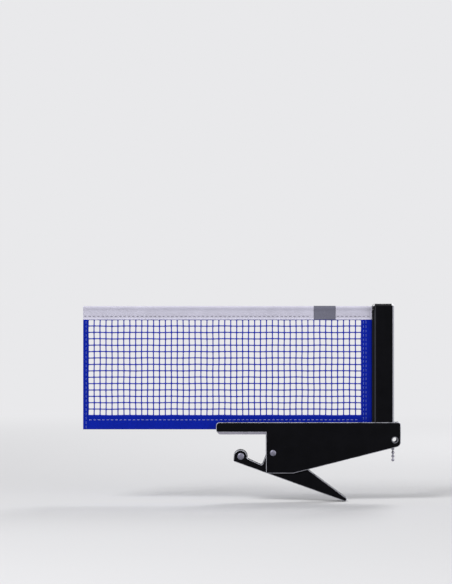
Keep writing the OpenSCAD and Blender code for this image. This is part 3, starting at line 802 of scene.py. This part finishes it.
def ease(share):
    """0 to 1 with level ends."""
    share = np.clip(share, 0, 1)
    return share * share * (3 - 2 * share)


def slack(points):
    """How far the taut net strays: long shallow waves across it, and openings a little uneven, as
    sums of sines of the place in millimetres."""
    x, z = points[:, 0] / MM, points[:, 2] / MM
    across = 0.28 * np.sin(x / 31 + z / 47) + 0.14 * np.sin(x / 13 - z / 19)
    along = 0.12 * np.sin(z / 9 + x / 23) + 0.07 * np.sin(z / 4.1 - x / 11)
    rise = 0.12 * np.sin(x / 8.5 + z / 17) + 0.07 * np.sin(x / 4.7)
    return np.stack([along, across, rise], -1) * MM


def twine_net(scene):
    """The net: upright and level strands of twine, each a tube that swells where it is knotted to
    the others. The whole is then moved by its slack."""
    net = scene.net_clamp_net
    low, high = box("net_mesh")
    # a strand's circles, as shares of a mesh, are closer near its knots
    circles = np.array([0.0, 0.07, 0.15, 0.32, 0.5, 0.68, 0.85, 0.93])

    def family(first, last, pitch):
        """Even places for the strands that cross this way, about a pitch apart. Then, for a strand
        that runs this way, the places and radii of its circles. A radius swells at each crossing
        in a bell curve."""
        count = round((last - first) / pitch)
        step = (last - first) / count
        along = first + (np.arange(count)[:, None] + circles[None]).ravel() * step
        along = np.r_[first - TUCK, along, last, last + TUCK]
        near = np.abs((along - first + step / 2) % step - step / 2)
        swell = np.exp(-(near / (KNOT_REACH * step)) ** 2)
        swell[[0, -1]] = 0
        return first + np.arange(count + 1) * step, along, net.twine / 2 * (1 + net.knot * swell)

    xs, along_x, radius_x = family(low[0], high[0], net.mesh_width)
    zs, along_z, radius_z = family(low[2], high[2], net.mesh_height)
    upright = tube(middle_plane(0.0, along_z), radius_z, 7)
    level = tube(middle_plane(along_x, 0.0), radius_x, 7)
    points, faces, uvs = joined([repeated(upright, middle_plane(xs, 0.0)),
                                 repeated(level, middle_plane(0.0, zs))])
    made = piece("twine_net", (points + slack(points), faces, uvs),
                 twisted_twine(tuple(scene.net_clamp_colours.blue)))
    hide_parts("net_mesh")


def fold(depth, half, bulge, stitch_depths):
    """Half the section of a folded tape, as depth from the fold and distance from the middle: a
    round fold, a neck that narrows to the flat, and the flat. pull is a bell curve about each row
    of stitches, where they pull the cloth in."""
    turn = np.linspace(0, math.pi / 2, 9)
    neck = np.linspace(bulge, (1 + NECK) * bulge, 9)[1:]
    flat = np.linspace(neck[-1], depth, 26)[1:]
    deep = np.r_[bulge * (1 - np.cos(turn)), neck, flat]
    narrowed = bulge + (half - bulge) * ease((neck - bulge) / (NECK * bulge))
    side = np.r_[bulge * np.sin(turn), narrowed, np.full(len(flat), half)]
    pull = np.zeros(len(deep))
    for at in stitch_depths:
        pull += np.exp(-((deep - at) / PULL_REACH) ** 2)
    return deep, side, pull


def tape(name, start, stop, inward, depth, half, bulge, stitch_depths, material, net, cloth,
         offset=0.0):
    """A tape folded over an edge of the net, from start to stop along the fold: the section that
    fold() gives is carried along it, mirrored for the far side, and puckers from stitch to stitch.
    Depths are from the outer edge, half and bulge reach to the outer face, and offset lifts it
    all."""
    start, stop, inward = (np.array(v, float) for v in (start, stop, inward))
    run = np.linalg.norm(stop - start)
    along = np.linspace(0, run, int(run / TAPE_STEP))
    lift = offset - cloth / 2
    deep, side, pull = fold(depth + lift, half + lift, bulge + lift,
                            [at + lift for at in stitch_depths])
    deep = np.r_[deep[::-1], deep[1:]]
    sign = np.r_[-np.ones(len(side)), np.ones(len(side) - 1)]
    side, pull = np.r_[side[::-1], side[1:]], np.r_[pull[::-1], pull[1:]]
    pucker = 0.5 + 0.5 * np.cos(2 * np.pi * along / net.stitch_pitch)
    across = sign * (side - PULL_DEPTH * pull * pucker[:, None])
    points = (start + along[:, None, None] * (stop - start) / run
              + (deep - lift)[None, :, None] * inward + across[..., None] * ALONG_Y)
    girth = np.r_[0, np.cumsum(np.hypot(np.diff(deep), np.diff(sign * side)))]
    drift = slack(points.reshape(-1, 3)).reshape(points.shape) * ALONG_Y
    made = piece(name, grid(points + drift, along, girth), material)
    thick = made.modifiers.new("Cloth", "SOLIDIFY")
    thick.thickness = cloth
    thick.offset = 0.0
    return made


def stitches(name, rows, face, material, net):
    """Rows of stitches: each stitch is a short arc of thread that rises from the cloth and dips
    back. A row is (start, stop), and face is how far the cloth's face is from the middle. The
    thread is drawn thicker than it is, so that it shows."""
    share = np.linspace(0, 1, 7)
    rise = face - STITCH_SINK + STITCH_RISE * np.sin(np.pi * share)
    surfaces = []
    for start, stop in rows:
        start, stop = np.array(start, float), np.array(stop, float)
        ahead = (stop - start) / np.linalg.norm(stop - start)
        count = int(np.linalg.norm(stop - start) / net.stitch_pitch)
        places = start + (np.arange(count)[:, None] + 0.5) * net.stitch_pitch * ahead
        for side in (-1, 1):
            path = (share[:, None] - 0.5) * net.stitch * ahead + side * rise[:, None] * ALONG_Y
            surfaces.append(repeated(tube(path, net.thread / 2, 6), places))
    points, faces, uvs = joined(surfaces)
    return piece(name, (points + slack(points) * ALONG_Y, faces, uvs), material)


def top_band(scene):
    """The white band over the cord, its stitches and the bare label folded over it."""
    net, colours = scene.net_clamp_net, scene.net_clamp_colours
    low, high = box("net_top_band")
    bulge, half, depth = high[1], box("net_end_tape")[1][1], high[2] - low[2]
    cotton = woven("white_cotton_tape", tuple(colours.white), 0.8)
    selvedge_and_fold_highlight(cotton, low, high, PALE_EDGE_WIDTH, PALE_EDGE_TONE)
    band = tape("white_band", (low[0], 0, high[2]), (high[0], 0, high[2]), (0, 0, -1),
                depth, half, bulge, [depth - BAND_SEAM], cotton, net, net.cloth)
    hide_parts("net_top_band")
    thread = sewing_thread("grey_polyester_thread", linear(BAND_THREAD))
    label_low, label_high = box("net_label")
    # the label hides the stitches under it
    rows = [((start, 0, low[2] + BAND_SEAM), (stop, 0, low[2] + BAND_SEAM))
            for start, stop in ((low[0], label_low[0]), (label_high[0], high[0]))]
    stitches("band_stitches", rows, half, thread, net)

    satin = woven("grey_satin_label", tuple(colours.label), 0.7, math.radians(45), sheen=0.2,
                  contrast=0.07)
    label = tape("bare_label", (label_low[0], 0, high[2]), (label_high[0], 0, high[2]),
                 (0, 0, -1), depth, half, bulge, [], satin, net, net.label_cloth,
                 offset=net.label_cloth + LABEL_GAP)
    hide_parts("net_label")


def blue_tapes(scene):
    """The hem along the bottom and the tapes at both ends, with their stitches."""
    net, colours = scene.net_clamp_net, scene.net_clamp_colours
    canvas = woven("blue_polyester_tape", tuple(colours.blue), 0.8, contrast=0.2)
    thread = sewing_thread("pale_polyester_thread", linear(HEM_THREAD))
    blue_thread = sewing_thread("light_blue_polyester_thread", linear(TAPE_THREAD))
    hem_low, hem_high = box("net_hem")
    half = hem_high[1]
    far_low, far_high = box("net_far_tape")
    end_low, end_high = box("net_end_tape")
    width, depth = end_high[0] - end_low[0], hem_high[2] - hem_low[2]
    hem = tape("blue_hem", (far_low[0], 0, hem_low[2]), (end_high[0], 0, hem_low[2]), (0, 0, 1),
               depth, half - HEM_INSET, half - HEM_INSET, [depth - HEM_SEAM], canvas, net,
               net.cloth)
    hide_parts("net_hem")
    low_z, high_z = end_low[2] + TAPE_FOOT, end_high[2]
    post_tape = tape("post_tape", (end_high[0], 0, low_z), (end_high[0], 0, high_z), (-1, 0, 0),
                     width, half, half, [width - seam for seam in TAPE_SEAMS], canvas, net,
                     net.cloth, OVER_HEM)
    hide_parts("net_end_tape")
    far_width = far_high[0] - far_low[0]
    far_tape = tape("far_tape", (far_low[0], 0, low_z), (far_low[0], 0, high_z), (1, 0, 0),
                    far_width, half, half, [far_width - TAPE_SEAMS[0]], canvas, net,
                    net.cloth, OVER_HEM)
    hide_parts("net_far_tape")
    seam_z = hem_high[2] - HEM_SEAM
    upright = [((x, 0, low_z), (x, 0, high_z)) for x in
               (*(end_low[0] + seam for seam in TAPE_SEAMS), far_high[0] - TAPE_SEAMS[0])]
    sewn = [stitches("hem_stitches", [((far_high[0], 0, seam_z), (end_low[0], 0, seam_z))],
                     half - HEM_STITCH_INSET, thread, net),
            stitches("tape_stitches", upright, half + OVER_HEM, blue_thread, net)]


# ---- stage ---------------------------------------------------------------------------------

VIEW_WIDTH, VIEW_HEIGHT = 452, 584  # in pixels
TABLE_CORNER_PX = (265.9, 433.9)    # where the frame's origin is seen
MM_PER_PX = 1.193                   # at the net's plane
CAMERA_DISTANCE = 3.0
BACKDROP = "#e9e9eb"
FLOOR = "#d2d2d4"                   # lit from above more than the upright backdrop is
FLOOR_RADIUS = 7.0
FLOOR_GAP = 0.5 * MM                # below the clamp's lowest point
FADE_START, FADE_END = 0.45, 2.2    # distances at which the floor turns into the backdrop
WORLD_LIGHT = 0.32


def area_light(name, place, target, size, power):
    """A square soft white lamp at a place, turned to a target."""
    lamp = bpy.data.lights.new(name, "AREA")
    lamp.size, lamp.energy = size, power
    made = bpy.data.objects.new(name, lamp)
    made.location = place
    made.rotation_euler = (Vector(target) - Vector(place)).to_track_quat("-Z", "Y").to_euler()
    bpy.context.scene.collection.objects.link(made)


def background_rays(tree):
    """1 for the rays that show the background: the camera's, and those mirrored or let through."""
    path = node(tree, "LightPath")
    direct = node(tree, "Math", {0: path.outputs["Is Camera Ray"],
                                 1: path.outputs["Is Glossy Ray"]}, operation="MAXIMUM")
    seen = node(tree, "Math", {0: direct.outputs["Value"],
                               1: path.outputs["Is Transmission Ray"]}, operation="MAXIMUM")
    return seen.outputs["Value"]


def stage(scene):
    """Pale floor, soft lamps and the camera, square to the clamp's side."""
    low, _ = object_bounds()
    turn = np.linspace(0, 2 * np.pi, 97)
    reach = np.r_[0, np.geomspace(0.2, FLOOR_RADIUS, 24)]
    disc = np.stack([reach[:, None] * np.cos(turn), reach[:, None] * np.sin(turn),
                     np.full((len(reach), len(turn)), low[2] - FLOOR_GAP)], -1)
    pale, tree, shader = finish("matt_floor_paper", linear(FLOOR), 0.9, Specular_IOR_Level=0.0)
    place = node(tree, "TexCoord")
    away = node(tree, "VectorMath", {0: place.outputs["Object"]}, operation="LENGTH")
    fade = node(tree, "MapRange", {"Value": away.outputs["Value"], "From Min": FADE_START,
                                   "From Max": FADE_END}, interpolation_type="SMOOTHSTEP")
    shown = node(tree, "Math", {0: fade.outputs["Result"], 1: background_rays(tree)},
                 operation="MULTIPLY")
    glow = node(tree, "Emission", {"Color": linear(BACKDROP), "Strength": 1.0})
    paper = node(tree, "MixShader", {0: shown.outputs["Value"], 1: shader.outputs["BSDF"],
                                     2: glow.outputs["Emission"]})
    # seen from below, the paper lets the clamp show through
    side = node(tree, "NewGeometry")
    clear = node(tree, "BsdfTransparent")
    mix = node(tree, "MixShader", {0: side.outputs["Backfacing"], 1: paper.outputs["Shader"],
                                   2: clear.outputs["BSDF"]})
    tree.links.new(mix.outputs["Shader"], tree.nodes["Material Output"].inputs["Surface"])
    floor = piece("floor", grid(disc, reach, turn), pale, body=None)
    if floor.data.polygons[0].normal.z < 0:
        floor.data.flip_normals()
    floor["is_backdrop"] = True

    world = bpy.data.worlds.new("soft_studio")
    scene.world = world
    world.use_nodes = True
    tree = world.node_tree
    tree.nodes.clear()
    lit = node(tree, "Background", {"Color": (1, 1, 1, 1), "Strength": WORLD_LIGHT})
    shown = node(tree, "Background", {"Color": linear(BACKDROP), "Strength": 1.0})
    mix = node(tree, "MixShader", {0: background_rays(tree), 1: lit.outputs["Background"],
                                   2: shown.outputs["Background"]})
    node(tree, "OutputWorld", {"Surface": mix.outputs["Shader"]})

    target = (0.0, 0.0, 0.04)
    area_light("key", (-1.3, -1.9, 1.9), target, 1.0, 62)
    area_light("fill", (1.9, -1.8, 0.7), target, 1.4, 22)
    area_light("rim", (0.6, 1.6, 1.5), target, 0.8, 26)

    scene.view_settings.view_transform = "Standard"
    lens = bpy.data.cameras.new("camera")
    lens.lens = lens.sensor_width * CAMERA_DISTANCE / (VIEW_HEIGHT * MM_PER_PX * MM)
    camera = bpy.data.objects.new("camera", lens)
    aim_x = (VIEW_WIDTH / 2 - TABLE_CORNER_PX[0]) * MM_PER_PX * MM
    aim_z = (TABLE_CORNER_PX[1] - VIEW_HEIGHT / 2) * MM_PER_PX * MM
    camera.location = (aim_x, -CAMERA_DISTANCE, aim_z)
    camera.rotation_euler = (math.pi / 2, 0.0, 0.0)
    scene.collection.objects.link(camera)
    scene.camera = camera


# ---- operators, panel and the run ----------------------------------------------------------


class NETCLAMP_OT_stage(bpy.types.Operator):
    """Set up the floor, the lamps, the world and the camera"""
    bl_idname = "netclamp.stage"
    bl_label = "Stage"

    def execute(self, context):
        stage(context.scene)
        return {"FINISHED"}


class NETCLAMP_OT_steelwork(bpy.types.Operator):
    """Finish the body, lever and post in powder coat"""
    bl_idname = "netclamp.steelwork"
    bl_label = "Steelwork"

    def execute(self, context):
        steelwork(context.scene)
        return {"FINISHED"}


class NETCLAMP_OT_rivets(bpy.types.Operator):
    """Turn the two domed rivets and plate the ferrule"""
    bl_idname = "netclamp.rivets"
    bl_label = "Rivets"

    def execute(self, context):
        rivets(context.scene)
        return {"FINISHED"}


class NETCLAMP_OT_bushes(bpy.types.Operator):
    """Finish the washers, the spring's sleeve and the roller's core in nylon"""
    bl_idname = "netclamp.bushes"
    bl_label = "Bushes"

    def execute(self, context):
        bushes(context.scene)
        return {"FINISHED"}


class NETCLAMP_OT_torsion_spring(bpy.types.Operator):
    """Wind the lever's torsion spring"""
    bl_idname = "netclamp.torsion_spring"
    bl_label = "Torsion Spring"

    def execute(self, context):
        torsion_spring(context.scene)
        return {"FINISHED"}


class NETCLAMP_OT_roller(bpy.types.Operator):
    """Mould the roller's rubber tyre"""
    bl_idname = "netclamp.roller"
    bl_label = "Roller"

    def execute(self, context):
        roller(context.scene)
        return {"FINISHED"}


class NETCLAMP_OT_jaw_pad(bpy.types.Operator):
    """Finish the upper jaw's rubber pad"""
    bl_idname = "netclamp.jaw_pad"
    bl_label = "Jaw Pad"

    def execute(self, context):
        jaw_pad(context.scene)
        return {"FINISHED"}


class NETCLAMP_OT_plastics(bpy.types.Operator):
    """Finish the post's cap and the net's batten in black plastic"""
    bl_idname = "netclamp.plastics"
    bl_label = "Cap and Batten"

    def execute(self, context):
        plastics(context.scene)
        return {"FINISHED"}


class NETCLAMP_OT_cord(bpy.types.Operator):
    """Braid the cord along the net's top and over the cap"""
    bl_idname = "netclamp.cord"
    bl_label = "Cord"

    def execute(self, context):
        cord(context.scene)
        return {"FINISHED"}


class NETCLAMP_OT_chain(bpy.types.Operator):
    """String the bead chain and its hanging end"""
    bl_idname = "netclamp.chain"
    bl_label = "Bead Chain"

    def execute(self, context):
        chain(context.scene)
        return {"FINISHED"}


class NETCLAMP_OT_twine_net(bpy.types.Operator):
    """Knot the net of twine"""
    bl_idname = "netclamp.twine_net"
    bl_label = "Net"

    def execute(self, context):
        twine_net(context.scene)
        return {"FINISHED"}


class NETCLAMP_OT_top_band(bpy.types.Operator):
    """Fold and sew the white band and its bare label"""
    bl_idname = "netclamp.top_band"
    bl_label = "Top Band"

    def execute(self, context):
        top_band(context.scene)
        return {"FINISHED"}


class NETCLAMP_OT_blue_tapes(bpy.types.Operator):
    """Fold and sew the hem and the tapes at both ends"""
    bl_idname = "netclamp.blue_tapes"
    bl_label = "Hem and Tapes"

    def execute(self, context):
        blue_tapes(context.scene)
        return {"FINISHED"}


OPERATORS = [NETCLAMP_OT_stage, NETCLAMP_OT_steelwork, NETCLAMP_OT_rivets, NETCLAMP_OT_bushes,
             NETCLAMP_OT_torsion_spring, NETCLAMP_OT_roller, NETCLAMP_OT_jaw_pad,
             NETCLAMP_OT_plastics, NETCLAMP_OT_cord, NETCLAMP_OT_chain, NETCLAMP_OT_twine_net,
             NETCLAMP_OT_top_band, NETCLAMP_OT_blue_tapes]
GROUPS = {"net_clamp_net": NetClampNet, "net_clamp_metal": NetClampMetal,
          "net_clamp_colours": NetClampColours}


class NETCLAMP_PT_panel(bpy.types.Panel):
    """Lists the clamp's sizes, colours and building steps"""
    bl_idname = "NETCLAMP_PT_panel"
    bl_label = "Table Tennis Net Clamp"
    bl_space_type = "VIEW_3D"
    bl_region_type = "UI"
    bl_category = "Net Clamp"

    def draw(self, context):
        for attribute, group in GROUPS.items():
            settings = self.layout.box().column()
            for name in group.__annotations__:
                settings.prop(getattr(context.scene, attribute), name)
        steps = self.layout.column(align=True)
        for step in OPERATORS:
            steps.operator(step.bl_idname)


def register():
    """Adds the settings, operators and panel to Blender."""
    for cls in (*GROUPS.values(), *OPERATORS, NETCLAMP_PT_panel):
        bpy.utils.register_class(cls)
    for attribute, group in GROUPS.items():
        setattr(bpy.types.Scene, attribute, PointerProperty(type=group))


def unregister():
    """Takes them out again."""
    for attribute in GROUPS:
        delattr(bpy.types.Scene, attribute)
    for cls in reversed((*GROUPS.values(), *OPERATORS, NETCLAMP_PT_panel)):
        bpy.utils.unregister_class(cls)


def main():
    """Builds every piece in order."""
    register()
    for step in OPERATORS:
        area, name = step.bl_idname.split(".")
        getattr(getattr(bpy.ops, area), name)()


if __name__ == "__main__":
    main()
